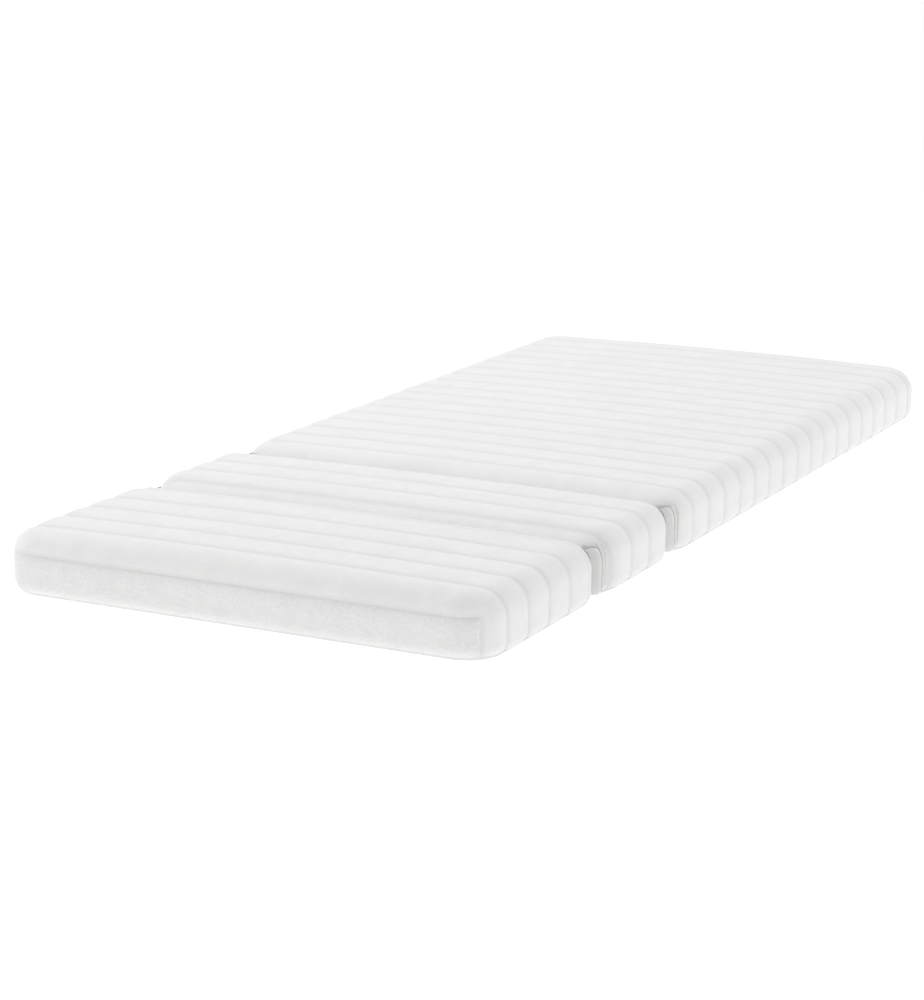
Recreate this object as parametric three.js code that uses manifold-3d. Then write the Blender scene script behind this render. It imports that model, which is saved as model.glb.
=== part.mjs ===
// Folding foam mattress: three foam sections in quilted covers, hinged at their underside.
// Millimetres, +Z up. The origin is under the middle of the mattress, on the surface it lies on.
// +X runs across the mattress and +Y from its foot end to its head end.
import * as THREE from 'three';
import { mergeVertices } from 'three/addons/utils/BufferGeometryUtils.js';
import Module from 'manifold-3d';

const wasm = await Module();
wasm.setup();

// Overall sizes
const WIDTH = 800;
const FOOT_LENGTH = 383;
const MIDDLE_LENGTH = 273;
const HEAD_LENGTH = 1212;
const FOLD_GAP = 6; // between the covers of two neighbouring sections
const THICKNESS = 100; // at the middle of the width, where the top is highest
const CROWN_RISE = 4; // from the rounded sides to the middle of the width

// Rounded edges, and rounded corners as seen from above
const TOP_RADIUS = 42;
const BOTTOM_RADIUS = 22;
const CORNER_RADIUS = 65;
const FOLD_ROLL_LENGTH = 58; // the top rolls down into a fold over this length,
const FOLD_ROLL_DROP = 45; // and through this height, as a quarter of an ellipse
const FOLD_BOTTOM_RADIUS = 4;
const FOLD_CORNER_RADIUS = 60;
const SMALLEST_RADIUS = 2;

// Layers, from the outside in
const CLEARANCE = 0.3; // between two pieces that lie against each other
const COVER = 2.5;
const WADDING = 7;
const MEMORY_FOAM = 30;

// Seams, as heights above the underside
const BOTTOM_SEAM = 6; // joins the quilted cover to the underside panel
const END_SEAM = 65; // joins the foot end panel to the quilted cover
const END_PANEL_MARGIN = 19; // from the long side to the end panel's upright seams

// Zip in the head end, in a shallow recess
const ZIP_DROP = 12; // from where the top edge starts to round off, down to the zip's middle
const ZIP_HALF_LENGTH = 300;
const ZIP_WINDOW_MARGIN = 28; // the window runs this far past the teeth, for the pull
const ZIP_WINDOW_HALF = 9;
const ZIP_WINDOW_RIM = 10; // of the head end panel, above the window
const ZIP_DEPTH = 6; // from the end of the mattress to the front of the tape
const TAPE_THICKNESS = 1;
const TAPE_TUCK = 4; // how far the tape runs on behind the cover
const COIL_RADIUS = 1.3;
const COIL_GAP = 1.2;
const SLIDER_LENGTH = 9;
const SLIDER_HALF_HEIGHT = 5.5;
const SLIDER_BACK = 1.2;
const SLIDER_FRONT = 1.3;
const SLIDER_WEB = 0.6;
const SLIDER_WEB_LENGTH = 3;
const BAIL_RADIUS = 0.6;
const BAIL_STAND_OFF = 1.9; // from the slider's front to the bail's centre
const BAIL_LUG = 1.2;
const PULL_EYE_RADIUS = 1.5;
const PULL_EYE_HEIGHT = 4;
const PULL_LENGTH = 20;
const PULL_THICKNESS = 1.2;
const STOP_LENGTH = 3;
const STOP_THICKNESS = 1.6;

// Folds: the tucked cloth in the gap, the seam that hinges it, and the pleats at both sides
const TUCK_WALL = 1;
const TUCK_BOTTOM = 4;
const TUCK_DROP = 50; // from the top of the mattress to the top of the tuck
const HINGE_BOTTOM = 0.5;
const HINGE_THICKNESS = 2;
const PLEAT_CLOTH = 1.5;
const PLEAT_CREST_DEPTH = 12; // from the long side of the mattress
const PLEAT_VALLEY_DEPTH = 46;
const PLEAT_DOUBLED = 14; // of the middle crest, where the cloth lies doubled
const PLEAT_BOTTOM = 6;
const PLEAT_DROP = 22; // from the top of the mattress to the top of the pleats

// Care label, caught in the left upright seam at the head end
const LABEL_REACH = 27; // across the mattress, from the seam
const LABEL_THICKNESS = 0.6;
const LABEL_LOW = 24;
const LABEL_HEIGHT = 20;

const ARC_STEPS = 4;
const LENGTH = FOOT_LENGTH + MIDDLE_LENGTH + HEAD_LENGTH + 2 * FOLD_GAP;
const FOOT_END = -LENGTH / 2;
const HEAD_END = LENGTH / 2;
const FOLD_1 = FOOT_END + FOOT_LENGTH + FOLD_GAP / 2;
const FOLD_2 = FOLD_1 + MIDDLE_LENGTH + FOLD_GAP;
const FOAM_INSET = COVER + WADDING + 2 * CLEARANCE;
const ZIP_HEIGHT = THICKNESS - TOP_RADIUS - ZIP_DROP;

const sections = [
  { name: 'foot', start: FOOT_END, end: FOLD_1 - FOLD_GAP / 2, startFold: false, endFold: true },
  { name: 'middle', start: FOLD_1 + FOLD_GAP / 2, end: FOLD_2 - FOLD_GAP / 2, startFold: true, endFold: true },
  { name: 'head', start: FOLD_2 + FOLD_GAP / 2, end: HEAD_END, startFold: true, endFold: false },
];

function cloth(color, roughness) {
  return new THREE.MeshStandardMaterial({ color, roughness, metalness: 0 });
}

const finishes = {
  quilt: cloth(0xf2f2f0, 0.95),
  plainVelour: cloth(0xeeeeec, 0.95),
  underside: cloth(0xe9e9e6, 0.9),
  wadding: cloth(0xf6f6f4, 1),
  memoryFoam: cloth(0xf3efe0, 0.9),
  baseFoam: cloth(0xe8ecef, 0.9),
  foldCloth: cloth(0xe6e3dd, 0.9),
  zipCloth: cloth(0xf0f0ee, 0.8),
  zipPlastic: cloth(0xf4f4f2, 0.45),
  zipMetal: new THREE.MeshStandardMaterial({ color: 0xd9dadb, roughness: 0.35, metalness: 0.9 }),
  label: cloth(0xfafaf8, 0.7),
};

const xAxis = new THREE.Vector3(1, 0, 0);
const yAxis = new THREE.Vector3(0, 1, 0);
const zAxis = new THREE.Vector3(0, 0, 1);

// A closed geometry as a solid that can be cut and joined.
function solidOf(geometry) {
  const bare = geometry.index ? geometry.toNonIndexed() : geometry.clone();
  bare.deleteAttribute('normal');
  bare.deleteAttribute('uv');
  const merged = mergeVertices(bare, 1e-4);
  const mesh = new wasm.Mesh({
    numProp: 3,
    vertProperties: new Float32Array(merged.attributes.position.array),
    triVerts: new Uint32Array(merged.index.array),
  });
  return new wasm.Manifold(mesh);
}

function geometryOf(solid) {
  const mesh = solid.getMesh();
  const geometry = new THREE.BufferGeometry();
  geometry.setAttribute('position', new THREE.BufferAttribute(new Float32Array(mesh.vertProperties), 3));
  geometry.setIndex(new THREE.BufferAttribute(new Uint32Array(mesh.triVerts), 1));
  geometry.computeVertexNormals();
  return geometry;
}

function box(x0, x1, y0, y1, z0, z1) {
  const geometry = new THREE.BoxGeometry(x1 - x0, y1 - y0, z1 - z0);
  geometry.translate((x0 + x1) / 2, (y0 + y1) / 2, (z0 + z1) / 2);
  return solidOf(geometry);
}

// A rod of round section from one point to another along X or Z.
function rod(axis, radius, length, x, y, z, steps = 16) {
  const geometry = new THREE.CylinderGeometry(radius, radius, length, steps);
  if (axis === 'x') geometry.rotateZ(Math.PI / 2);
  else geometry.rotateX(Math.PI / 2);
  geometry.translate(x, y, z);
  return solidOf(geometry);
}

// An outline drawn in X and Z, made solid from y0 to y1.
function alongY(shape, y0, y1) {
  const geometry = new THREE.ExtrudeGeometry(shape, { depth: y1 - y0, bevelEnabled: false, curveSegments: ARC_STEPS });
  geometry.applyMatrix4(new THREE.Matrix4().makeBasis(xAxis, zAxis, yAxis.clone().negate()));
  geometry.translate(0, y1, 0);
  return solidOf(geometry);
}

// An outline drawn in Y and Z, made solid from x0 to x1.
function alongX(shape, x0, x1) {
  const geometry = new THREE.ExtrudeGeometry(shape, { depth: x1 - x0, bevelEnabled: false, curveSegments: ARC_STEPS });
  geometry.applyMatrix4(new THREE.Matrix4().makeBasis(yAxis, zAxis, xAxis));
  geometry.translate(x0, 0, 0);
  return solidOf(geometry);
}

// An outline drawn in X and Y, made solid from z0 to z1.
function alongZ(shape, z0, z1) {
  const geometry = new THREE.ExtrudeGeometry(shape, { depth: z1 - z0, bevelEnabled: false, curveSegments: ARC_STEPS });
  geometry.translate(0, 0, z0);
  return solidOf(geometry);
}

// A rectangle with its own rounding at each corner, [across, up], in the order
// low-low, high-low, high-high, low-high.
function roundedRectangle(x0, x1, y0, y1, corners) {
  const [a, b, c, d] = corners.map((sizes) => sizes.map((size) => Math.max(size, SMALLEST_RADIUS)));
  const shape = new THREE.Shape();
  shape.moveTo(x0 + a[0], y0);
  shape.absellipse(x1 - b[0], y0 + b[1], b[0], b[1], -Math.PI / 2, 0, false);
  shape.absellipse(x1 - c[0], y1 - c[1], c[0], c[1], 0, Math.PI / 2, false);
  shape.absellipse(x0 + d[0], y1 - d[1], d[0], d[1], Math.PI / 2, Math.PI, false);
  shape.absellipse(x0 + a[0], y0 + a[1], a[0], a[1], Math.PI, 1.5 * Math.PI, false);
  return shape;
}

// The section across the mattress: flat below, rounded sides, crowned top.
function crossOutline(inset, bottom) {
  const side = WIDTH / 2 - inset;
  const low = Math.max(BOTTOM_RADIUS - inset, SMALLEST_RADIUS);
  const high = Math.max(TOP_RADIUS - inset, SMALLEST_RADIUS);
  const crown = THICKNESS - inset;
  const shoulder = crown - CROWN_RISE;
  const shape = new THREE.Shape();
  shape.moveTo(-side + low, bottom);
  shape.absarc(side - low, bottom + low, low, -Math.PI / 2, 0, false);
  shape.absarc(side - high, shoulder - high, high, 0, Math.PI / 2, false);
  shape.quadraticCurveTo(0, 2 * crown - shoulder, -side + high, shoulder);
  shape.absarc(-side + high, shoulder - high, high, Math.PI / 2, Math.PI, false);
  shape.absarc(-side + low, bottom + low, low, Math.PI, 1.5 * Math.PI, false);
  return shape;
}

// One section's block, with its surface moved in by the inset and its base at the bottom height.
function block(section, inset, bottom) {
  const start = section.start + inset;
  const end = section.end - inset;
  const side = WIDTH / 2 - inset;
  const rounding = (across, up = across) => [across - inset, up - inset];
  const low = (fold) => rounding(fold ? FOLD_BOTTOM_RADIUS : BOTTOM_RADIUS);
  const high = (fold) => (fold ? rounding(FOLD_ROLL_LENGTH, FOLD_ROLL_DROP) : rounding(TOP_RADIUS));
  const corner = (fold) => rounding(fold ? FOLD_CORNER_RADIUS : CORNER_RADIUS);
  const { startFold, endFold } = section;
  const lengthwise = roundedRectangle(start, end, bottom, THICKNESS - inset, [
    low(startFold), low(endFold), high(endFold), high(startFold),
  ]);
  const plan = roundedRectangle(-side, side, start, end, [
    corner(startFold), corner(startFold), corner(endFold), corner(endFold),
  ]);
  return alongY(crossOutline(inset, bottom), start - 1, end + 1)
    .intersect(alongX(lengthwise, -side - 1, side + 1))
    .intersect(alongZ(plan, bottom - 1, THICKNESS + 1));
}

const group = new THREE.Group();
group.name = 'folding_foam_mattress';

function add(name, solid, material) {
  const mesh = new THREE.Mesh(geometryOf(solid), material);
  mesh.name = name;
  group.add(mesh);
}

// The part of a solid between two heights.
function between(solid, low, high) {
  return solid.intersect(box(-WIDTH, WIDTH, FOOT_END - WIDTH, HEAD_END + WIDTH, low, high));
}

const panelHalf = WIDTH / 2 - END_PANEL_MARGIN;
const panelDepth = CORNER_RADIUS;
const windowHalf = ZIP_HALF_LENGTH + ZIP_WINDOW_MARGIN;
const windowLow = ZIP_HEIGHT - ZIP_WINDOW_HALF;
const windowHigh = ZIP_HEIGHT + ZIP_WINDOW_HALF;
const tapeFront = HEAD_END - ZIP_DEPTH;
const tapeBack = tapeFront - TAPE_THICKNESS;
const coilY = tapeFront - TAPE_THICKNESS / 2;
const channelBack = coilY - COIL_RADIUS - CLEARANCE;
const channelFront = coilY + COIL_RADIUS + CLEARANCE;
const sliderRear = channelBack - SLIDER_BACK;
const sliderFace = channelFront + SLIDER_FRONT;

// The space that an end panel and its seams take out of the quilted cover.
function endPanelSpace(section, seam, grow) {
  const y0 = section.endFold ? section.start - 1 : section.end - panelDepth - grow;
  const y1 = section.endFold ? section.start + panelDepth + grow : section.end + 1;
  return box(-panelHalf - grow, panelHalf + grow, y0, y1, BOTTOM_SEAM - 1, seam + grow);
}

// The window that the zip stands in, cut to a depth from the head end.
function zipWindow(grow, depth) {
  return box(
    -windowHalf - grow, windowHalf + grow, HEAD_END - depth, HEAD_END + 1,
    windowLow - grow, windowHigh + grow,
  );
}

// Foam, wadding, quilted cover and underside panel of one section.
for (const section of sections) {
  const outside = block(section, 0, 0);
  const skin = outside.subtract(block(section, COVER, COVER));
  let cover = between(skin, BOTTOM_SEAM + CLEARANCE, THICKNESS + 1);
  let wadding = block(section, COVER + CLEARANCE, COVER + CLEARANCE);
  wadding = wadding.subtract(block(section, COVER + CLEARANCE + WADDING, COVER + CLEARANCE));
  wadding = between(wadding, BOTTOM_SEAM + CLEARANCE, THICKNESS);
  let foam = block(section, FOAM_INSET, COVER + CLEARANCE);
  const split = THICKNESS - FOAM_INSET - MEMORY_FOAM;

  if (section.name === 'foot') {
    cover = cover.subtract(endPanelSpace(section, END_SEAM, CLEARANCE / 2));
    const panel = between(skin, BOTTOM_SEAM + CLEARANCE, THICKNESS);
    const space = endPanelSpace(section, END_SEAM, -CLEARANCE / 2);
    add('foot_end_panel', panel.intersect(space), finishes.plainVelour);
  }
  if (section.name === 'head') {
    cover = cover.subtract(endPanelSpace(section, windowHigh + ZIP_WINDOW_RIM, CLEARANCE / 2));
    wadding = wadding.subtract(zipWindow(TAPE_TUCK + CLEARANCE, FOAM_INSET));
    foam = foam.subtract(zipWindow(TAPE_TUCK + CLEARANCE, HEAD_END - sliderRear + CLEARANCE));
    const panel = between(skin, BOTTOM_SEAM + CLEARANCE, THICKNESS);
    const space = endPanelSpace(section, windowHigh + ZIP_WINDOW_RIM, -CLEARANCE / 2);
    add('head_end_panel', panel.intersect(space).subtract(zipWindow(0, FOAM_INSET)), finishes.plainVelour);
  }

  add(`base_foam_${section.name}`, between(foam, 0, split - CLEARANCE / 2), finishes.baseFoam);
  add(`memory_foam_${section.name}`, between(foam, split + CLEARANCE / 2, THICKNESS), finishes.memoryFoam);
  add(`wadding_${section.name}`, wadding, finishes.wadding);
  add(`quilted_cover_${section.name}`, cover, finishes.quilt);
  add(`underside_panel_${section.name}`, between(skin, -1, BOTTOM_SEAM), finishes.underside);
}

// How far a rounded corner has drawn back from the fold's middle, at a depth from the long side.
function notchHalf(depth) {
  const across = Math.max(FOLD_CORNER_RADIUS - depth, 0);
  return FOLD_GAP / 2 + FOLD_CORNER_RADIUS - Math.sqrt(FOLD_CORNER_RADIUS ** 2 - across ** 2);
}

// Bellows of pleated cloth that close one end of a fold: a crest in the middle, a valley on
// each side of it, and then the cloth follows the rounded corners outwards.
function pleatOutline(fold, hand) {
  const crest = WIDTH / 2 - PLEAT_CREST_DEPTH;
  const deepen = PLEAT_VALLEY_DEPTH - PLEAT_CREST_DEPTH;
  const wall = [0, 0.25, 0.5, 0.75, 1].map((share) => {
    const depth = PLEAT_CREST_DEPTH + share * deepen;
    return [notchHalf(depth + PLEAT_CLOTH) - 2 * CLEARANCE, WIDTH / 2 - depth];
  });
  const across = (point) => [-point[0], point[1]];
  const inward = (point) => [point[0], point[1] - PLEAT_CLOTH];
  const lower = wall.map(across);
  const upper = [...wall].reverse();
  const front = [...lower, [0, crest], ...upper];
  const back = [...lower.map(inward), [0, crest - PLEAT_DOUBLED], ...upper.map(inward)].reverse();
  return new THREE.Shape([...front, ...back].map(([y, x]) => new THREE.Vector2(hand * x, fold + y)));
}

const straightHalf = WIDTH / 2 - FOLD_CORNER_RADIUS - CLEARANCE;
const tuckHalf = FOLD_GAP / 2 - CLEARANCE;

[FOLD_1, FOLD_2].forEach((fold, index) => {
  const number = index + 1;

  // The top cloth turns down into the gap and up again, as a narrow U.
  const inside = tuckHalf - TUCK_WALL;
  const tuckTop = THICKNESS - TUCK_DROP;
  const tuck = new THREE.Shape();
  tuck.moveTo(fold - tuckHalf, tuckTop);
  tuck.absarc(fold, TUCK_BOTTOM + tuckHalf, tuckHalf, Math.PI, 2 * Math.PI, false);
  tuck.lineTo(fold + tuckHalf, tuckTop);
  tuck.lineTo(fold + inside, tuckTop);
  tuck.absarc(fold, TUCK_BOTTOM + tuckHalf, inside, 0, -Math.PI, true);
  tuck.lineTo(fold - inside, tuckTop);
  tuck.closePath();
  add(`fold_tuck_${number}`, alongX(tuck, -straightHalf, straightHalf), finishes.foldCloth);

  const hinge = box(
    -straightHalf, straightHalf, fold - tuckHalf, fold + tuckHalf,
    HINGE_BOTTOM, HINGE_BOTTOM + HINGE_THICKNESS,
  );
  add(`fold_hinge_seam_${number}`, hinge, finishes.underside);

  for (const [side, hand] of [['left', -1], ['right', 1]]) {
    const pleats = alongZ(pleatOutline(fold, hand), PLEAT_BOTTOM, THICKNESS - PLEAT_DROP);
    add(`fold_pleats_${number}_${side}`, pleats, finishes.foldCloth);
  }
});

// Zip: two tapes, two coils, two stops, the slider and its pull.
const coilOffset = COIL_GAP / 2 + COIL_RADIUS;
const tapeNear = COIL_GAP / 2 + 2 * COIL_RADIUS + CLEARANCE;
const tapeFar = ZIP_WINDOW_HALF + TAPE_TUCK;
const tapeHalf = windowHalf + TAPE_TUCK;

for (const [side, hand] of [['lower', -1], ['upper', 1]]) {
  const near = ZIP_HEIGHT + hand * tapeNear;
  const far = ZIP_HEIGHT + hand * tapeFar;
  const tape = box(-tapeHalf, tapeHalf, tapeBack, tapeFront, Math.min(near, far), Math.max(near, far));
  add(`zip_tape_${side}`, tape, finishes.zipCloth);
  const coil = rod('x', COIL_RADIUS, 2 * ZIP_HALF_LENGTH, 0, coilY, ZIP_HEIGHT + hand * coilOffset);
  add(`zip_coil_${side}`, coil, finishes.zipPlastic);
}

for (const [side, hand] of [['left', -1], ['right', 1]]) {
  const near = hand * (ZIP_HALF_LENGTH + CLEARANCE);
  const far = near + hand * STOP_LENGTH;
  const stop = box(
    Math.min(near, far), Math.max(near, far),
    tapeFront + CLEARANCE, tapeFront + CLEARANCE + STOP_THICKNESS,
    ZIP_HEIGHT - tapeNear - 1, ZIP_HEIGHT + tapeNear + 1,
  );
  add(`zip_stop_${side}`, stop, finishes.zipMetal);
}

// The slider stands at the closed end, short of the right-hand stop.
const sliderRight = ZIP_HALF_LENGTH - 1;
const sliderLeft = sliderRight - SLIDER_LENGTH;
const bailX = sliderRight - SLIDER_LENGTH / 2;
const bailY = sliderFace + BAIL_STAND_OFF;
const lugNear = PULL_EYE_HEIGHT / 2 + CLEARANCE;
const lugFar = lugNear + BAIL_LUG;
const low = ZIP_HEIGHT - SLIDER_HALF_HEIGHT;
const high = ZIP_HEIGHT + SLIDER_HALF_HEIGHT;

const slider = [
  box(sliderLeft, sliderRight, sliderRear, channelBack, low, high),
  box(sliderLeft, sliderRight, channelFront, sliderFace, low, high),
  box(
    sliderRight - SLIDER_WEB_LENGTH, sliderRight, sliderRear, sliderFace,
    ZIP_HEIGHT - SLIDER_WEB / 2, ZIP_HEIGHT + SLIDER_WEB / 2,
  ),
  box(
    bailX - BAIL_LUG, bailX + BAIL_LUG, channelFront, bailY + BAIL_RADIUS,
    ZIP_HEIGHT + lugNear, ZIP_HEIGHT + lugFar,
  ),
  box(
    bailX - BAIL_LUG, bailX + BAIL_LUG, channelFront, bailY + BAIL_RADIUS,
    ZIP_HEIGHT - lugFar, ZIP_HEIGHT - lugNear,
  ),
  rod('z', BAIL_RADIUS, 2 * lugFar - BAIL_LUG, bailX, bailY, ZIP_HEIGHT),
];
add('zip_slider', slider.reduce((whole, piece) => whole.add(piece)), finishes.zipMetal);

// The pull lies flat along the zip and turns about the bail.
const blade = new THREE.Shape();
const bladeEnd = bailX - PULL_LENGTH + PULL_EYE_HEIGHT / 2;
blade.moveTo(bailX, ZIP_HEIGHT + PULL_EYE_HEIGHT / 2);
blade.absarc(bladeEnd, ZIP_HEIGHT, PULL_EYE_HEIGHT / 2, Math.PI / 2, 1.5 * Math.PI, false);
blade.lineTo(bailX, ZIP_HEIGHT - PULL_EYE_HEIGHT / 2);
const pull = alongY(blade, bailY - PULL_THICKNESS / 2, bailY + PULL_THICKNESS / 2)
  .add(rod('z', PULL_EYE_RADIUS, PULL_EYE_HEIGHT, bailX, bailY, ZIP_HEIGHT))
  .subtract(rod('z', BAIL_RADIUS + CLEARANCE, 2 * PULL_EYE_HEIGHT, bailX, bailY, ZIP_HEIGHT));
add('zip_pull', pull, finishes.zipMetal);

// Care label: a small blank strip that lies round the corner, on the end panel.
const head = sections[2];
const labelLeft = CLEARANCE - panelHalf;
const labelSpace = box(
  labelLeft, labelLeft + LABEL_REACH, HEAD_END - CORNER_RADIUS, HEAD_END, LABEL_LOW, LABEL_LOW + LABEL_HEIGHT,
);
const labelBack = block(head, -CLEARANCE, 0);
const labelFront = block(head, -CLEARANCE - LABEL_THICKNESS, 0);
add('care_label', labelFront.subtract(labelBack).intersect(labelSpace), finishes.label);

export default group;
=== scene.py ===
import math

import bpy
import numpy as np
from mathutils import Matrix, Vector


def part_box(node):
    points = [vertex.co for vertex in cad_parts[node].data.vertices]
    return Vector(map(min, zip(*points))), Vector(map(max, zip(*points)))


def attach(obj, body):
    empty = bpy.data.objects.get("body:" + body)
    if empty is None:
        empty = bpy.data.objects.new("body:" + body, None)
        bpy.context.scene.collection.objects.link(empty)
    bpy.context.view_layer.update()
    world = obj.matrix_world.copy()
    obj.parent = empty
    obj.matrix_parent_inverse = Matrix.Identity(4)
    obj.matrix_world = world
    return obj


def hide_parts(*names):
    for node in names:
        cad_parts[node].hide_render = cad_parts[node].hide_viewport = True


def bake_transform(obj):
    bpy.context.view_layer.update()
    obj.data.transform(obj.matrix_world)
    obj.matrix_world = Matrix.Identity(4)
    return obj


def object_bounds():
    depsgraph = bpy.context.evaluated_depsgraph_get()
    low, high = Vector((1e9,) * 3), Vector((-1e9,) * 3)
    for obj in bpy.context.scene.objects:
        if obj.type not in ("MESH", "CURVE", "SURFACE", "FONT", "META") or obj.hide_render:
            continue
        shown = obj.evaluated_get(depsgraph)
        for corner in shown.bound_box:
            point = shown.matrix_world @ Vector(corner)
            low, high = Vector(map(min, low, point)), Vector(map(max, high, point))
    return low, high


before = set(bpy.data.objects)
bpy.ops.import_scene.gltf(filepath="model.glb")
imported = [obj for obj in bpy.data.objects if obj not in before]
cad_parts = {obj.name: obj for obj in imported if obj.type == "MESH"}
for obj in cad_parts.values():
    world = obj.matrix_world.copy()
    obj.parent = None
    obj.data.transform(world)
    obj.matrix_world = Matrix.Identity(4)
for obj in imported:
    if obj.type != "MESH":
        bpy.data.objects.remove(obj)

cad_box = [list(corner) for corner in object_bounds()]
bpy.ops.object.select_all(action="DESELECT")


# --- Camera, light and floor ---------------------------------------------------------------
# A white room with soft light from behind, on the left and on the right. The floor lies low, so that the
# sections can swing down at the folds. The camera stands past the foot end, to the right.
camera_place = Vector((1.9222, -4.0429, 1.0702))
camera_yaw = math.radians(-26.728)
camera_pitch = math.radians(13.631)
camera_roll = math.radians(0.379)
lamps = (((-2.6, -0.2, 3.0), 70), ((3.2, 2.6, 2.4), 38))  # each one's place, and its power in watts
lamp_side = 4.0
room_brightness = 0.70
floor_height = -0.72
floor_side = 200
floor_glow = 0.36

bpy.ops.object.camera_add(location=camera_place)
camera = bpy.context.object
camera.data.lens = 97.83
camera.data.sensor_width = 36
camera.data.clip_end = 100
heading = Matrix.Rotation(-camera_yaw, 4, "Z") @ Matrix.Rotation(math.pi / 2 - camera_pitch, 4, "X")
camera.matrix_world = Matrix.Translation(camera_place) @ heading @ Matrix.Rotation(camera_roll, 4, "Z")
bpy.context.scene.camera = camera

world = bpy.data.worlds.new("white_room")
world.use_nodes = True
world.node_tree.nodes["Background"].inputs["Color"].default_value = (1.0, 1.0, 1.0, 1)
world.node_tree.nodes["Background"].inputs["Strength"].default_value = room_brightness
bpy.context.scene.world = world
bpy.context.scene.view_settings.view_transform = "Standard"

for spot, power in lamps:
    bpy.ops.object.light_add(type="AREA", location=spot)
    lamp = bpy.context.object
    lamp.data.shape = "RECTANGLE"
    lamp.data.size = lamp_side
    lamp.data.size_y = lamp_side
    lamp.data.energy = power
    lamp.rotation_euler = (-lamp.location).to_track_quat("-Z", "Y").to_euler()

bpy.ops.mesh.primitive_plane_add(size=floor_side, location=(0, 0, floor_height))
floor = bpy.context.object
floor.name = "floor"
floor_paint = bpy.data.materials.new("white_floor")
floor_paint.use_nodes = True
floor_shader = floor_paint.node_tree.nodes["Principled BSDF"]
floor_shader.inputs["Base Color"].default_value = (0.9, 0.9, 0.9, 1)
floor_shader.inputs["Roughness"].default_value = 0.9
floor_shader.inputs["Emission Color"].default_value = (1, 1, 1, 1)
floor_shader.inputs["Emission Strength"].default_value = floor_glow
floor.data.materials.append(floor_paint)


# --- Quilted covers, with their wadding ----------------------------------------------------
# White velour of cotton and polyester, sewn to wadding in straight channels across the
# mattress. It rolls over the edges and runs down to the seam at the underside, and every
# channel stands up between its two lines of stitching.
half_width = cad_box[1][0]
foot_end = cad_box[0][1]
top_height = cad_box[1][2]
bottom_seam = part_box("underside_panel_foot")[1].z + 0.0002
end_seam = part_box("foot_end_panel")[1].z
crown_rise = 0.004  # of the middle of the top over its sides
edge_roll = 0.042  # radius over the long sides and the two ends
fold_roll = 0.058  # how far the cover rolls down towards a fold, in length
fold_roll_drop = 0.045  # and in height
end_corner = 0.065  # radius in plan
fold_corner = 0.060
edge_rounding = 0.022  # radius at the underside
fold_rounding = 0.004
channel_pitch = 0.0676  # from one line of stitching to the next
channel_rise = 0.0042
channel_fullness = 2.8  # the power of the channel's curve: flat on its crest, steep at the stitching
most_sunk = 0.0075
line_waver = 0.0008  # of the stitching, to and fro
seam_pull = 0.0012
seam_pull_reach = 0.010
end_seam_pull = 0.0056
end_seam_reach = 0.030
end_pull_power = 2.2
end_pull_fade = 0.012  # where the pull of the end seams fades, above the underside
# Painted shade in the creases: how far it reaches from the stitching, how strong it is at an end seam, and
# its reach there.
crease_shade_reach = 0.0035
end_seam_shade = 1.8  # how much stronger the painted shade is at an end seam than at a stitching line
end_seam_shade_reach = 0.0022
cloth_thickness = 0.0016
cloth_gap = 0.0003  # from the cover to the wadding
wadding_depth = 0.0098  # from the crests to the foam
least_wadding = 0.0006
column_width = 0.012
least_row = 0.0015
corner_steps = 12
roll_levels = np.linspace(0, 1, 23)
wall_levels = np.linspace(1, 2, 12)

# Where each section starts and ends, which of its ends are folds, and its lines of stitching.
sections = {
    "foot": {"folds": (False, True), "first": 0.0644, "lines": 5},
    "middle": {"folds": (True, True), "first": 0.4181, "lines": 4},
    "head": {"folds": (True, False), "first": 0.6581, "lines": 19},
}
for name, section in sections.items():
    low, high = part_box("underside_panel_" + name)
    section["body"] = name + "_section"
    section["start"] = low.y if section["folds"][0] else foot_end
    section["end"] = high.y if section["folds"][1] else -foot_end
    section["stitched"] = [
        foot_end + section["first"] + channel_pitch * count for count in range(section["lines"])
    ]


def corner_run(section, at_end, side, first_angle):
    """Points round an eighth of a circle at a corner: centre x, centre y, radius, angle."""
    radius = fold_corner if section["folds"][at_end] else end_corner
    centre_y = section["end"] - radius if at_end else section["start"] + radius
    angles = np.radians(np.linspace(first_angle, first_angle + 45, corner_steps + 1))
    return [(side * (half_width - radius), centre_y, radius, angle) for angle in angles]


def straight_side(section):
    """Where a section's straight sides start and end, between its corners."""
    first = section["start"] + (fold_corner if section["folds"][0] else end_corner)
    last = section["end"] - (fold_corner if section["folds"][1] else end_corner)
    return first, last


def side_rows(section):
    """Where the rows of faces lie along a straight side: close together at the stitching."""
    first, last = straight_side(section)
    shares = (-0.5, -0.37, -0.25, -0.155, -0.085, -0.035, 0, 0.035, 0.085, 0.155, 0.25, 0.37)
    rows = [first]
    for line in section["stitched"]:
        for share in shares:
            place = line + share * channel_pitch
            if rows[-1] + least_row < place < last - least_row:
                rows.append(place)
    while rows[-1] < last - 0.016:
        rows.append(rows[-1] + column_width)
    return rows + [last]


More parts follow.
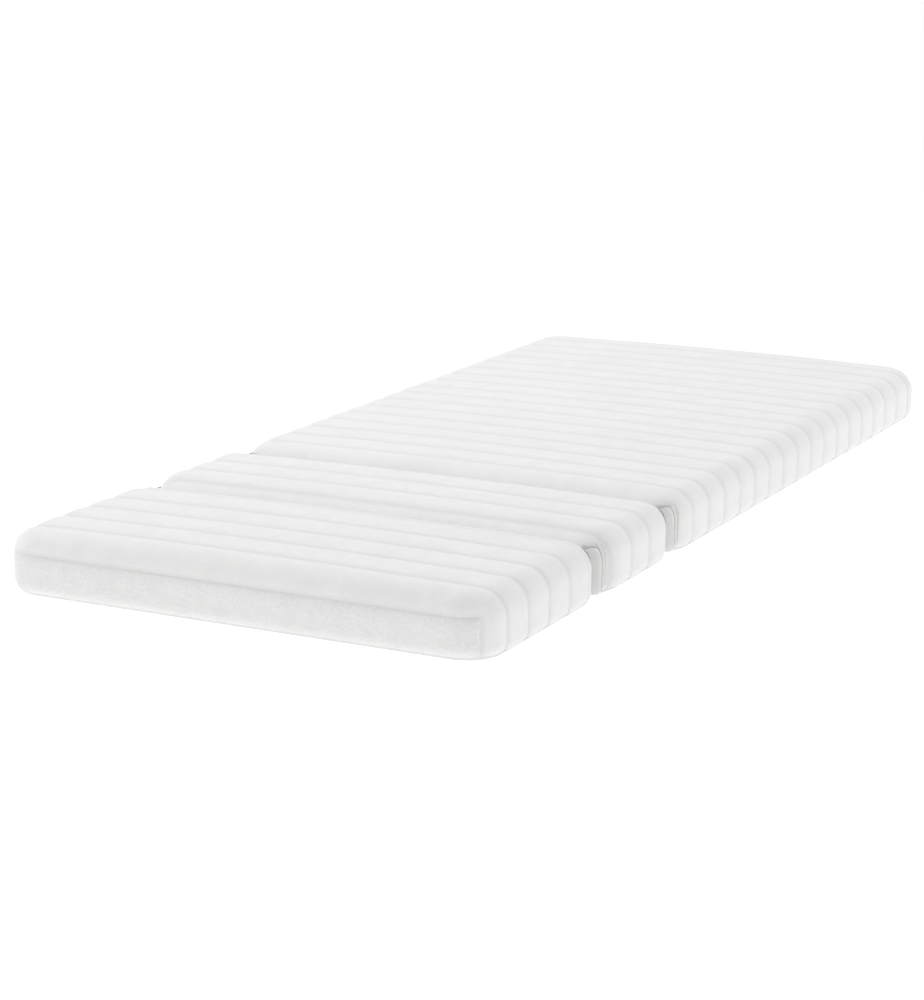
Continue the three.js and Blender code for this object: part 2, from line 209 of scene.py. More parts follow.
def outline(section, rows, columns):
    """The section's edge in plan, from its front left corner round to the right, with how
    it is rounded at each point."""
    runs = []
    for at_end, first_side, first_angle in ((0, -1, -135), (1, 1, 45)):
        lead = corner_run(section, at_end, first_side, first_angle)
        tail = corner_run(section, at_end, -first_side, first_angle + 45)
        across = np.linspace(lead[-1][0], tail[0][0], columns + 1)[1:-1]
        straight = [(x, *lead[-1][1:]) for x in across]
        runs.append(lead + straight + tail)
        side = -first_side
        lead = corner_run(section, at_end, side, first_angle + 90)
        tail = corner_run(section, 1 - at_end, side, first_angle + 135)
        between = rows[-2:0:-1] if at_end else rows[1:-1]
        straight = [(lead[-1][0], y, *lead[-1][2:]) for y in between]
        runs.append(lead + straight + tail)
    front, right, back, left = runs
    loop = np.array(front[:-1] + right[:-1] + back[:-1] + left[:-1])
    plan = {"ends": len(front) - 1, "sides": len(right) - 1}
    direction = np.stack([np.cos(loop[:, 3]), np.sin(loop[:, 3])], axis=1)
    toward_end = direction[:, 1] ** 2
    is_fold = np.where(direction[:, 1] < 0, section["folds"][0], section["folds"][1])
    fold_share = toward_end * is_fold
    edge = loop[:, :2] + loop[:, 2:3] * direction
    plan["direction"] = direction
    plan["roll"] = edge_roll + (fold_roll - edge_roll) * fold_share
    plan["drop"] = edge_roll + (fold_roll_drop - edge_roll) * fold_share
    plan["rounding"] = edge_rounding + (fold_rounding - edge_rounding) * fold_share
    plan["edge"] = edge
    plan["foot"] = edge - plan["roll"][:, None] * direction
    plan["top"] = top_height - crown_rise * (plan["foot"][:, 0] / (half_width - edge_roll)) ** 2
    # How far along the edge each point is from the upright seams of the end panels.
    steps = np.linalg.norm(np.roll(edge, -1, axis=0) - edge, axis=1)
    travelled = np.concatenate([[0], np.cumsum(steps)])[:-1]
    whole = steps.sum()
    ends, sides = plan["ends"], plan["sides"]
    corners = [] if section["folds"][0] else [0, ends]
    corners += [] if section["folds"][1] else [ends + sides, 2 * ends + sides]
    away = np.full(len(loop), 1.0)
    for corner in corners:
        gap = np.abs(travelled - travelled[corner])
        away = np.minimum(away, np.minimum(gap, whole - gap))
    on_end = np.zeros(len(loop), bool)
    inside = np.zeros(len(loop), bool)
    if not section["folds"][0]:
        on_end[: ends + 1] = True
        inside[1:ends] = True
    if not section["folds"][1]:
        on_end[ends + sides : 2 * ends + sides + 1] = True
        inside[ends + sides + 1 : 2 * ends + sides] = True
    plan["panel_inside"] = inside
    plan["from_upright"] = np.where(on_end, 0.0, away)
    return plan


def roll_path(plan, angle):
    """How far the cloth has run over the edge's roll, from the top to this angle."""
    slices = 12
    shares = (np.arange(slices) + 0.5) / slices
    turned = angle[..., None] * shares
    speed = np.hypot(plan["roll"][:, None] * np.cos(turned), plan["drop"][:, None] * np.sin(turned))
    return speed.mean(-1) * angle


def skin(plan, level):
    """Points, outward directions and the place along the channels, at one level round the
    edge: 0 is the flat top, 1 the end panels' top seam and 2 the seam at the underside."""
    top, roll, drop, rounding = plan["top"], plan["roll"], plan["drop"], plan["rounding"]
    seam_angle = np.arccos((end_seam - top + drop) / drop)
    if level <= 1:
        angle = level * seam_angle
        height = top - drop + drop * np.cos(angle)
    else:
        height = np.full(len(top), end_seam + (bottom_seam - end_seam) * (level - 1))
        angle = np.arccos(np.clip((height - top + drop) / drop, 0, 1))
    under = np.clip((rounding - height) / rounding, 0, 1)
    inward = rounding * (1 - np.sqrt(1 - under**2))
    reach = roll * np.sin(angle) - inward
    direction = plan["direction"]
    points = np.column_stack([plan["foot"] + reach[:, None] * direction, height])
    flat = np.sin(angle) / roll
    upward = np.cos(angle) / drop - under / roll
    length = np.hypot(flat, upward)
    outward = np.column_stack([direction * (flat / length)[:, None], upward / length])
    path = roll_path(plan, angle)
    stretch = path / np.maximum(angle, 1e-6)
    along = plan["foot"][:, 1] + stretch * np.arcsin(np.sin(angle) * direction[:, 1])
    from_end = np.hypot(plan["from_upright"], np.maximum(roll_path(plan, seam_angle) - path, 0))
    if level > 1:
        from_end = plan["from_upright"]
    return points, outward, along, from_end, height - bottom_seam


def wander(place, across, seed):
    """A slow waver between -1 and 1, for cloth that no one sewed quite straight."""
    return (
        np.sin(across * 9.1 + place * 23.0 + seed)
        + 0.6 * np.sin(across * 21.7 - place * 41.0 + 2.1 * seed)
        + 0.3 * np.sin(across * 47.3 + place * 67.0 + 3.7 * seed)
    ) / 1.9


def seams_open(from_end, reach, from_bottom):
    """What is left of the cloth's fullness beside an end panel's seams and the seam at the
    underside, from 0 to 1."""
    end_pull = end_seam_pull * np.clip(1 - from_end / reach, 0, 1) ** end_pull_power
    end_pull = end_pull * np.clip(from_bottom / end_pull_fade, 0, 1)
    bottom_pull = seam_pull * np.clip(1 - from_bottom / seam_pull_reach, 0, 1) ** 2
    return (1 - end_pull / most_sunk) * (1 - bottom_pull / most_sunk)


def sunk(section, points, along, from_end, from_bottom):
    """How far the cloth lies below the crests of its channels, and how near it is to a
    line of stitching or a seam, which sets the painted shade in the creases."""
    across = points[:, 0] + 0.7 * points[:, 2]
    lines = np.array(section["stitched"])
    along = along + line_waver * wander(along, across, 1.0)
    after = np.clip(np.searchsorted(lines, along), 1, len(lines) - 1)
    nearest = np.minimum(np.abs(along - lines[after - 1]), np.abs(along - lines[after]))
    share = np.clip(1 - nearest / (channel_pitch / 2), 0, 1)
    full = 0.92 + 0.08 * wander(along, across, 4.0)
    stitch = channel_rise * (1 - full * (1 - share**channel_fullness))
    stitch = stitch * np.clip(0.25 + from_bottom / 0.016, 0, 1)
    stitch = stitch * np.clip(from_end / 0.012, 0, 1)
    open_share = 1 - np.minimum(stitch, most_sunk) / most_sunk
    open_share = open_share * seams_open(from_end, end_seam_reach, from_bottom)
    # Painted shade: nearness to the stitching and the seams, which darkens the velour in its creases.
    near = np.exp(-nearest / crease_shade_reach)
    near = np.maximum(near, end_seam_shade * np.exp(-from_end / end_seam_shade_reach))
    return most_sunk * (1 - open_share), near


def new_piece(name, points, faces):
    """A piece with a mesh of these points and faces."""
    mesh = bpy.data.meshes.new(name)
    corners = [tuple(float(value) for value in point) for point in points]
    mesh.from_pydata(corners, [], [tuple(int(number) for number in face) for face in faces])
    piece = bpy.data.objects.new(name, mesh)
    bpy.context.collection.objects.link(piece)
    return piece


def shell(name, outer, inner, faces, crease_shade=None):
    """A closed piece of cloth: an outer face, an inner face, and a rim all round."""
    count = len(outer)
    faces = np.array(faces)
    edges = {}
    for face in faces:
        for first, second in zip(face, np.roll(face, -1)):
            edges[(first, second)] = edges.get((first, second), 0) + 1
    rim = [(a, b) for a, b in edges if (b, a) not in edges]
    rim_faces = [(b, a, a + count, b + count) for a, b in rim]
    every = [*faces, *(faces[:, ::-1] + count), *rim_faces]
    piece = new_piece(name, np.concatenate([outer, inner]), every)
    piece.data.validate()
    # The nearness to seams and stitching is stored for the painted shade in the creases.
    if crease_shade is not None:
        attribute = piece.data.attributes.new("crease_shade", "FLOAT", "POINT")
        attribute.data.foreach_set("value", np.concatenate([crease_shade, crease_shade]).astype(np.float32))
    bpy.ops.object.select_all(action="DESELECT")
    bpy.context.view_layer.objects.active = piece
    piece.select_set(True)
    bpy.ops.object.shade_smooth_by_angle(angle=math.radians(50))
    piece.select_set(False)
    return piece


def grid_faces(numbers):
    """The faces of a grid of point numbers, rows by columns."""
    a, b = numbers[:-1, :-1], numbers[1:, :-1]
    c, d = numbers[1:, 1:], numbers[:-1, 1:]
    return np.stack([a, b, c, d], axis=-1).reshape(-1, 4)


def fade(distance, reach):
    """1 at no distance, falling off to 0 at the reach."""
    return np.clip(1 - distance / reach, 0, 1) ** 2


def top_between(plan, boundary):
    """Points of the top, filled in between the four edges of its outline. boundary is
    what the outline's points carry: one row of numbers each."""
    ends, sides = plan["ends"], plan["sides"]
    front = boundary[: ends + 1]
    right = boundary[ends : ends + sides + 1]
    back = boundary[ends + sides : 2 * ends + sides + 1][::-1]
    left = np.concatenate([boundary[2 * ends + sides :], boundary[:1]])[::-1]
    across = (front[:, 0] - front[0, 0]) / (front[-1, 0] - front[0, 0])
    x = left[:, None, 0] + (right[:, None, 0] - left[:, None, 0]) * across[None, :]
    travel = (left[:, 1] - left[0, 1]) / (left[-1, 1] - left[0, 1])
    straight_back = back[0, 0] + (back[-1, 0] - back[0, 0]) * across
    x = x + travel[:, None] * (back[:, 0] - straight_back)[None, :]
    y = np.tile(left[:, 1:2], (1, ends + 1))
    for edge, corner, last in ((front, 0, corner_steps), (back, -1, -1 - corner_steps)):
        nearness = fade(left[:, 1] - left[corner, 1], left[last, 1] - left[corner, 1])
        y = y + nearness[:, None] * (edge[:, 1] - edge[corner, 1])[None, :]
    return x, y


def join_to_edge(numbers, edge, plan):
    """Gives the border of a filled-in grid the numbers of the points along the edge."""
    ends, sides = plan["ends"], plan["sides"]
    numbers[0, :] = edge[: ends + 1]
    numbers[:, -1] = edge[ends : ends + sides + 1]
    numbers[-1, :] = edge[ends + sides : 2 * ends + sides + 1][::-1]
    numbers[:, 0] = edge[2 * ends + sides :][::-1]


def only_used(faces, *stores):
    """The faces and what goes with their points, without the points that no face uses."""
    used = np.unique(faces)
    renumber = np.full(used[-1] + 1, -1)
    renumber[used] = np.arange(len(used))
    return [renumber[faces]] + [store[used] for store in stores]


def quilted_skin(section):
    """The outer side of a section's cover: its plan, its faces, and its points with their
    outward directions, how far each is sunk and how near it is to a seam."""
    plan = outline(section, side_rows(section), round(2 * (half_width - end_corner) / column_width))
    ring = len(plan["top"])
    points, outward, along, from_end, from_bottom, faces = [], [], [], [], [], []
    numbers = []
    total = 0
    for level in np.concatenate([roll_levels, wall_levels[1:]]):
        place, normal, run, end_gap, bottom_gap = skin(plan, level)
        keep = np.ones(ring, bool)
        if level > 1:
            keep[plan["panel_inside"]] = False
        row = np.full(ring, -1)
        row[keep] = total + np.arange(keep.sum())
        total += keep.sum()
        numbers.append(row)
        facts = (place, normal, run, end_gap, bottom_gap)
        for store, value in zip((points, outward, along, from_end, from_bottom), facts):
            store.append(value[keep])
    numbers = np.array(numbers)
    numbers = np.concatenate([numbers, numbers[:, :1]], axis=1)
    wall = grid_faces(numbers)
    faces = wall[(wall >= 0).all(axis=1)]
    x, y = top_between(plan, plan["foot"])
    top_numbers = total + np.arange(x.size).reshape(x.shape)
    join_to_edge(top_numbers, numbers[0], plan)
    height = top_height - crown_rise * (x / (half_width - edge_roll)) ** 2
    points.append(np.stack([x, y, height], axis=-1).reshape(-1, 3))
    outward.append(np.tile([0.0, 0.0, 1.0], (x.size, 1)))
    along.append(y.ravel())
    from_end.append(np.full(x.size, 1.0))
    from_bottom.append(np.full(x.size, 1.0))
    top_faces = grid_faces(top_numbers)[:, ::-1]
    faces = np.concatenate([faces, top_faces])
    points, outward, along, from_end, from_bottom = (
        np.concatenate(store) for store in (points, outward, along, from_end, from_bottom)
    )
    depth, crease_shade = sunk(section, points, along, from_end, from_bottom)
    return [plan] + only_used(faces, points, outward, depth, crease_shade)


class Value:
    """The output of a shader node, which sums and products turn into Math nodes."""

    tree = None

    def __init__(self, socket):
        self.socket = socket

    @classmethod
    def node(cls, kind, settings=None, sockets=None, output=0):
        made = cls.tree.nodes.new("ShaderNode" + kind)
        for name, setting in (settings or {}).items():
            setattr(made, name, setting)
        for name, value in (sockets or {}).items():
            if isinstance(value, Value):
                cls.tree.links.new(value.socket, made.inputs[name])
            else:
                made.inputs[name].default_value = value
        return cls(made.outputs[output])

    def math(self, operation, first, second):
        return Value.node("Math", {"operation": operation}, {0: first, 1: second})

    def __add__(self, other):
        return self.math("ADD", self, other)

    def __sub__(self, other):
        return self.math("SUBTRACT", self, other)

    def __rsub__(self, other):
        return self.math("SUBTRACT", other, self)

    def __mul__(self, other):
        return self.math("MULTIPLY", self, other)

    __radd__ = __add__
    __rmul__ = __mul__


def finish_of(name, make, **constants):
    """A material. make gives its two colours, how far it is from one to the other, its
    roughness, the height of its surface and how deep that is in metres."""
    material = bpy.data.materials.new(name)
    material.use_nodes = True
    Value.tree = material.node_tree
    shader = material.node_tree.nodes["Principled BSDF"]
    place = Value.node("TexCoord", output=3)
    dark, light, share, roughness, height, depth = make(place)
    stops = {"Factor": share, 6: (*dark, 1), 7: (*light, 1)}
    colour = Value.node("Mix", {"data_type": "RGBA"}, stops, 2)
    bump = Value.node("Bump", None, {"Strength": 1.0, "Distance": depth, "Height": height})
    for socket, value in (("Base Color", colour), ("Roughness", roughness), ("Normal", bump)):
        Value.tree.links.new(value.socket, shader.inputs[socket])
    for socket, value in constants.items():
        shader.inputs[socket.replace("_", " ")].default_value = value
    return material


def noise(place, scale, detail=2.0, roughness=0.5):
    sockets = {"Vector": place, "Scale": scale, "Detail": detail, "Roughness": roughness}
    return Value.node("TexNoise", None, sockets)


def painted_crease_shade():
    """How near a point is to a line of stitching or a seam, for painted shade in the creases."""
    return Value.node("Attribute", {"attribute_name": "crease_shade"}, output=2)


def velour_with(pile_size, pile_depth, contrast):
    """Cut pile: fine tufts, with patches where it leans one way or the other. The creases
    at the stitching and the seams get painted shade.
    """

    def make(place):
        tufts = noise(place, 1 / pile_size, 3.0, 0.65)
        lean = noise(place, 38.0, 3.0, 0.55)
        bands = noise(place, 7.0, 2.0)
        share = 0.5 + contrast * (tufts - 0.5) + 0.9 * (lean - 0.5) + 0.5 * (bands - 0.5)
        # Painted shade: darker towards the stitching and the seams, where the creases fall in shade.
        share = share - 1.5 * painted_crease_shade()
        roughness = 0.82 + 0.2 * lean
        return velour_shaded, velour_lit, share, roughness, 0.8 * tufts + 0.5 * lean, pile_depth

    return make


def fibres(place):
    """Loose polyester fibres."""
    share = noise(place, 120.0, 4.0)
    roughness = 0.95 + 0.05 * noise(place, 30.0)
    return (0.80, 0.80, 0.78), (0.90, 0.90, 0.88), share, roughness, noise(place, 260.0, 4.0, 0.7), 0.001


# The two ends of the velour's colour: random pile tone runs between them, and painted crease shade pulls
# towards the darker one.
velour_shaded = (0.80, 0.80, 0.795)
velour_lit = (0.90, 0.90, 0.895)
pile_sheen = {"Sheen_Weight": 0.25, "Sheen_Roughness": 0.45}
velour = finish_of("quilted_velour", velour_with(0.0028, 0.0007, 0.8), **pile_sheen)
wadding_fibre = finish_of("wadding_fibre", fibres)


def give(piece, material):
    piece.data.materials.clear()
    piece.data.materials.append(material)


for name, section in sections.items():
    section["plan"], faces, points, outward, depth, crease_shade = quilted_skin(section)
    outer = points - outward * depth[:, None]
    inner = points - outward * (depth + cloth_thickness)[:, None]
    cover = shell("quilted_cover_" + name + "_cloth", outer, inner, faces, crease_shade)
    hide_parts("quilted_cover_" + name)
    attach(cover, section["body"])
    give(cover, velour)
    outer = points - outward * (depth + cloth_thickness + cloth_gap)[:, None]
    inner = points - outward * np.maximum(depth + cloth_thickness + least_wadding, wadding_depth)[:, None]
    wadding = shell("wadding_" + name + "_layer", outer, inner, faces)
    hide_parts("wadding_" + name)
    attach(wadding, section["body"])
    give(wadding, wadding_fibre)

# --- Stitching of the channels -------------------------------------------------------------
# White polyester thread in rows of lock stitch, which holds the velour down on the wadding
# and makes the channels. Each row crosses the top and runs down both sides.
stitch_pitch = 0.0055
stitch_length = 0.0042
thread_radius = 0.00038
thread_sides = 5
thread_stand = 0.0001  # of each row over the velour


def spun_thread(place):
    """Spun polyester: fine fibres, paler where they stand out."""
    share = noise(place, 900.0)
    roughness = 0.55 + 0.2 * noise(place, 500.0)
    return (0.74, 0.74, 0.73), (0.90, 0.90, 0.89), share, roughness, noise(place, 1500.0), 0.0002


thread = finish_of("sewing_thread", spun_thread)


def stitch_line(section, line):
    """Points of one row of stitching with what sunk() needs: place, outward direction,
    distance from the end panel and height above the seam at the underside."""
    plan = section["plan"]
    first = plan["ends"] - corner_steps
    last = plan["ends"] + plan["sides"] + corner_steps
    right, ends_along = [], []
    for level in np.linspace(0, 2, 81):
        place, outward, along, from_end, above = skin(plan, level)
        facts = np.column_stack([place, outward, from_end, above])[first : last + 1]
        run = along[first : last + 1]
        ends_along.append((run[0], run[-1], facts[0], facts[-1]))
        if run[0] <= line <= run[-1]:
            spot = np.interp(line, run, np.arange(len(run)))
            low = min(int(spot), len(run) - 2)
            right.append(facts[low] + (spot - low) * (facts[low + 1] - facts[low]))
    right = np.array(right)
    on_top = ends_along[0][0] <= line <= ends_along[0][1]
    if on_top:
        # The row crosses the flat top. Otherwise it crosses on the roll at the section's end.
        across = np.linspace(right[0][0], -right[0][0], 141)[1:-1]
        middle = np.tile(right[0], (len(across), 1))
        middle[:, 0] = across
        middle[:, 2] = top_height - crown_rise * (across / (half_width - edge_roll)) ** 2
        middle[:, 3:6] = (0, 0, 1)
    else:
        column = 0 if line < ends_along[0][0] else 1
        run = np.array([row[column] for row in ends_along])
        facts = np.array([row[2 + column] for row in ends_along])
        order = np.argsort(run)
        crossing = np.array([np.interp(line, run[order], fact[order]) for fact in facts.T])
        across = np.linspace(crossing[0], -crossing[0], 141)
        middle = np.tile(crossing, (len(across), 1))
        middle[:, 0] = across
    left = right.copy()
    left[:, [0, 3]] *= -1
    path = np.concatenate([right[::-1], middle, left])
    path[:, 1] -= line_waver * wander(line, path[:, 0] + 0.7 * path[:, 2], 1.0) * on_top
    return path


def sewn_along(path, outward):
    """Stitches laid end to end along a path, as points and faces. Each is a short thread,
    thick in the middle, with both of its ends in the cloth."""
    steps = np.linalg.norm(np.diff(path, axis=0), axis=1)
    travelled = np.concatenate([[0], np.cumsum(steps)])

    def along_at(distance, values):
        return np.array([np.interp(distance, travelled, column) for column in values.T])

    half = stitch_length / 2
    around = np.linspace(0, 2 * math.pi, thread_sides + 1)[:-1]
    points, faces = [], []
    for start in np.arange(stitch_pitch / 2, travelled[-1] - stitch_pitch / 2, stitch_pitch):
        middle = along_at(start, path)
        ahead = along_at(start + half, path) - along_at(start - half, path)
        ahead = ahead / np.linalg.norm(ahead)
        up = along_at(start, outward)
        up = up - ahead * up.dot(ahead)
        up = up / np.linalg.norm(up)
        beside = np.cross(ahead, up)
        first = len(points)
        points.append(middle - ahead * half - up * thread_radius)
        for share in (-0.27, 0.27):
            for angle in around:
                ring = (beside * math.cos(angle) + up * math.sin(angle)) * thread_radius
                points.append(middle + ahead * stitch_length * share + ring + up * thread_radius * 0.5)
        last = len(points)
        points.append(middle + ahead * half - up * thread_radius)
        for side in range(thread_sides):
            here = first + 1 + side
            after = first + 1 + (side + 1) % thread_sides
            faces.append((first, here, after))
            faces.append((here, here + thread_sides, after + thread_sides, after))
            faces.append((last, after + thread_sides, here + thread_sides))
    return points, faces


for name, section in sections.items():
    points, faces = [], []
    for line in section["stitched"]:
        path = stitch_line(section, line)
        along = line - line_waver * wander(line, path[:, 0] + 0.7 * path[:, 2], 1.0)
        outward = path[:, 3:6]
        depth, crease_shade = sunk(section, path[:, :3], along, path[:, 6], path[:, 7])
        row_points, row_faces = sewn_along(path[:, :3] - outward * (depth - thread_stand)[:, None], outward)
        faces += [tuple(number + len(points) for number in face) for face in row_faces]
        points += row_points
    stitching = new_piece("channel_stitching_" + name, points, faces)
    stitching.data.shade_smooth()
    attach(stitching, section["body"])
    give(stitching, thread)


# --- End panels ----------------------------------------------------------------------------
# Plain velour with a deeper pile, sewn to the quilted cover along the top and down the two
# upright seams near the corners. The one at the head end has the window for the zip.
panel_column = 0.004
panel_levels = np.array(
    [1, 1.03, 1.07, 1.12, 1.195, 1.27, 1.36, 1.45, 1.55, 1.64, 1.72, 1.8, 1.87, 1.93, 1.97, 2]
)
panel_thickness = 0.002
panel_seam_reach = 0.020
# how far the painted shade reaches down from an end panel's top seam
panel_seam_shade_reach = 0.002
panel_slack = 0.0008  # how loose the cloth is, besides its wavering
most_panel_sunk = 0.0085
pucker_depth = 0.0013
pucker_width = 0.0021
pucker_reach = 0.018
window_top, window_bottom = 0.055, 0.037
window_height = 0.018
window_half_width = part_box("zip_tape_upper")[1].x - 0.004
window_levels = [(end_seam - height) / (end_seam - bottom_seam) + 1 for height in (window_top, window_bottom)]
deep_velour = finish_of("plain_velour", velour_with(0.0046, 0.0024, 1.5), **pile_sheen)


def panel_sunk(points, from_top, from_upright, from_bottom):
    """How far an end panel lies below its fullest place: it is drawn in at every seam and
    puckered beside the upright ones."""
    from_seam = (np.maximum(from_top, 1e-5) ** -4 + np.maximum(from_upright, 1e-5) ** -4) ** -0.25
    drawn_in = most_sunk * (1 - seams_open(from_seam, panel_seam_reach, from_bottom))
    pucker = pucker_depth * np.sin(from_upright / pucker_width + 9 * from_top)
    pucker = pucker * np.exp(-from_upright / pucker_reach)
    slack = panel_slack + 0.0006 * wander(points[:, 2] * 3, points[:, 0], 6.0)
    loose = np.clip(np.minimum(from_seam, from_bottom) / 0.006, 0, 1)
    return np.clip(drawn_in + loose * (slack + pucker), 0, most_panel_sunk)


def end_panel(section, at_head, levels):
    """The points of an end panel, row by row, with their outward directions and how far
    each is sunk."""
    plan = outline(section, side_rows(section), round(2 * (half_width - end_corner) / panel_column))
    ends, sides = plan["ends"], plan["sides"]
    chosen = np.arange(ends + 1) + (ends + sides if at_head else 0)
    places, directions, depths = [], [], []
    for level in levels:
        place, outward, along, from_end, above = (values[chosen] for values in skin(plan, level))
        run = np.r_[0, np.cumsum(np.linalg.norm(np.diff(place[:, :2], axis=0), axis=1))]
        from_upright = np.minimum(run, run[-1] - run)
        places.append(place)
        directions.append(outward)
        depths.append(panel_sunk(place, end_seam - place[:, 2], from_upright, above))
    return np.array(places), np.array(directions), np.array(depths)


for name, at_head in (("foot_end_panel", False), ("head_end_panel", True)):
    section = sections["head" if at_head else "foot"]
    levels = panel_levels
    if at_head:
        levels = np.sort(np.r_[levels, window_levels])
        levels = levels[np.r_[True, np.diff(levels) > 0.012]]
    place, outward, depth = end_panel(section, at_head, levels)
    numbers = np.arange(depth.size).reshape(depth.shape)
    faces = grid_faces(numbers)
    if at_head:
        # The window for the zip is left open, and its hems lie a little lower.
        window_sides = (window_half_width, -window_half_width)
        edges = [np.argmin(np.abs(place[0, :, 0] - side)) for side in window_sides]
        for edge, side in zip(edges, window_sides):
            place[:, edge, 0] = side
        top_row, bottom_row = (np.argmin(np.abs(levels - level)) for level in window_levels)
        hole = numbers[top_row:bottom_row, edges[0] : edges[1]].ravel()
        faces = faces[~np.isin(faces[:, 0], hole)]
        above_middle = np.abs(place[..., 2] - (window_bottom + window_height / 2))
        near_window = np.exp(-np.maximum(above_middle - window_height / 2, 0) / 0.003)
        near_window = near_window * (np.abs(place[..., 0]) < window_half_width + 0.003)
        depth = depth + near_window * (0.0012 - 0.4 * depth)
    place, outward, depth = place.reshape(-1, 3), outward.reshape(-1, 3), depth.ravel()
    faces, place, outward, depth = only_used(faces, place, outward, depth)
    outer = place - outward * depth[:, None]
    inner = place - outward * (depth + panel_thickness)[:, None]
    # Painted shade along the top seam, where the panel is sewn to the quilted cover.
    crease_shade = end_seam_shade * np.exp(-(end_seam - place[:, 2]) / panel_seam_shade_reach)
    panel = shell(name + "_cloth", outer, inner, faces, crease_shade)
    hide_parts(name)
    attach(panel, section["body"])
    give(panel, deep_velour)


# --- Underside panels ----------------------------------------------------------------------
# One smooth knitted panel under each section. It turns up round the bottom edge and meets
# the quilted cover at the seam.
underside_column = 0.024
underside_steps = 7
underside_width = 0.83
underside_turn_up = 0.03  # both ends together
underside_thickness = 0.0012
underside_pull_reach = 0.004


def ribs_along(place, direction, scale, distortion=0.0):
    """Straight ribs, each as wide as the next, in one direction."""
    settings = {"wave_type": "BANDS", "bands_direction": direction}
    return Value.node("TexWave", settings, {"Vector": place, "Scale": scale, "Distortion": distortion})


def knit(place):
    """Fine knitted cloth: columns of loops, each a stitch wide."""
    loops = ribs_along(place, "X", 170.0) * ribs_along(place, "Y", 240.0)
    tone = noise(place, 14.0, 3.0)
    share = 0.35 * loops + 0.6 * tone
    height = loops + 0.4 * noise(place, 700.0)
    return (0.76, 0.76, 0.75), (0.88, 0.88, 0.87), share, 0.8 + 0.15 * tone, height, 0.0005


underside_knit = finish_of("underside_knit", knit, Sheen_Weight=0.1)


def underside_skin(section):
    """The underside panel's outer face: its faces, and its points with their outward
    directions and how far each is drawn in at the seam."""
    first, last = straight_side(section)
    rows = list(np.linspace(first, last, max(3, round((last - first) / underside_column))))
    plan = outline(section, rows, round(2 * (half_width - end_corner) / underside_column))
    rounding, direction = plan["rounding"], plan["direction"]
    start_angle = np.arcsin(np.clip((rounding - bottom_seam) / rounding, 0, 1))
    wall = np.maximum(bottom_seam - rounding, 0)
    whole = wall + rounding * (math.pi / 2 - start_angle)
    points, outward = [], []
    for share in np.linspace(0, 1, underside_steps + 1):
        run = share * whole
        angle = np.where(run < wall, start_angle, start_angle + (run - wall) / rounding)
        height = np.where(run < wall, bottom_seam - run, rounding * (1 - np.sin(angle)))
        inward = rounding * (1 - np.cos(angle))
        points.append(np.column_stack([plan["edge"] - inward[:, None] * direction, height]))
        outward.append(np.column_stack([direction * np.cos(angle)[:, None], -np.sin(angle)]))
    ring = len(rounding)
    numbers = np.arange(ring * (underside_steps + 1)).reshape(underside_steps + 1, ring)
    numbers = np.concatenate([numbers, numbers[:, :1]], axis=1)
    faces = grid_faces(numbers)
    x, y = top_between(plan, points[-1][:, :2])
    inner_numbers = ring * (underside_steps + 1) + np.arange(x.size).reshape(x.shape)
    join_to_edge(inner_numbers, numbers[-1], plan)
    points.append(np.column_stack([x.ravel(), y.ravel(), np.zeros(x.size)]))
    outward.append(np.tile([0.0, 0.0, -1.0], (x.size, 1)))
    faces = np.concatenate([faces, grid_faces(inner_numbers)])
    points, outward = np.concatenate(points), np.concatenate(outward)
    depth = seam_pull * np.clip(1 - (bottom_seam - points[:, 2]) / underside_pull_reach, 0, 1) ** 2
    return only_used(faces, points, outward, depth)


for name, section in sections.items():
    faces, points, outward, depth = underside_skin(section)
    outer = points - outward * depth[:, None]
    inner = points - outward * (depth + underside_thickness)[:, None]
    panel = shell("underside_panel_" + name + "_cloth", outer, inner, faces)
    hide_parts("underside_panel_" + name)
    cut = (underside_width, section["end"] - section["start"] + underside_turn_up)
    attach(panel, section["body"])
    give(panel, underside_knit)


# --- Foam cores ----------------------------------------------------------------------------
# Each section has a block of plain polyurethane foam with a layer of memory foam on top.
# They lie inside the cover, a little clear of the wadding, cut to the section's outline.
foam_inset = 0.0104
foam_rings = 9


def foam_of(dark, light, cell):
    """Open foam of round cells."""

    def make(place):
        cells = Value.node("TexVoronoi", None, {"Vector": place, "Scale": 1 / cell})
        return dark, light, cells + 0.3 * noise(place, 60.0) - 0.15, 0.85 + 0.1 * cells, cells, 0.0006

    return make


memory_foam = finish_of("memory_foam", foam_of((0.72, 0.68, 0.52), (0.86, 0.83, 0.70), 0.0009))
base_foam = finish_of("base_foam", foam_of((0.66, 0.72, 0.76), (0.82, 0.86, 0.88), 0.0016))


def tube_faces(rings, around):
    """The faces of a tube made of rings of points, with a face over each of its ends."""
    numbers = np.arange(rings * around).reshape(rings, around)
    wall = grid_faces(np.concatenate([numbers, numbers[:, :1]], axis=1))
    return [*wall, numbers[0], numbers[-1][::-1]]


def foam_block(name, section, lowest, highest):
    """A block of foam cut to the inside of the cover, between two heights."""
    rows = list(np.linspace(section["start"] + end_corner, section["end"] - end_corner, 12))
    plan = outline(section, rows, 16)
    profiles = []
    for level in np.linspace(2, 0, 34):
        place, outward, *others = skin(plan, level)
        profiles.append(place - outward * foam_inset)
    profiles = np.array(profiles).transpose(1, 0, 2)
    points = []
    for height in np.linspace(highest, lowest, foam_rings):
        for profile in profiles:
            x = np.interp(height, profile[:, 2], profile[:, 0])
            y = np.interp(height, profile[:, 2], profile[:, 1])
            points.append((x, y, height))
    return new_piece(name, points, tube_faces(foam_rings, len(profiles)))


for name, section in sections.items():
    for kind, material in (("memory_foam_", memory_foam), ("base_foam_", base_foam)):
        low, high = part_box(kind + name)
        highest = min(high.z, top_height - crown_rise - foam_inset)
        block = foam_block(kind + name + "_block", section, low.z, highest)
        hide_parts(kind + name)
        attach(block, section["body"])
        give(block, material)


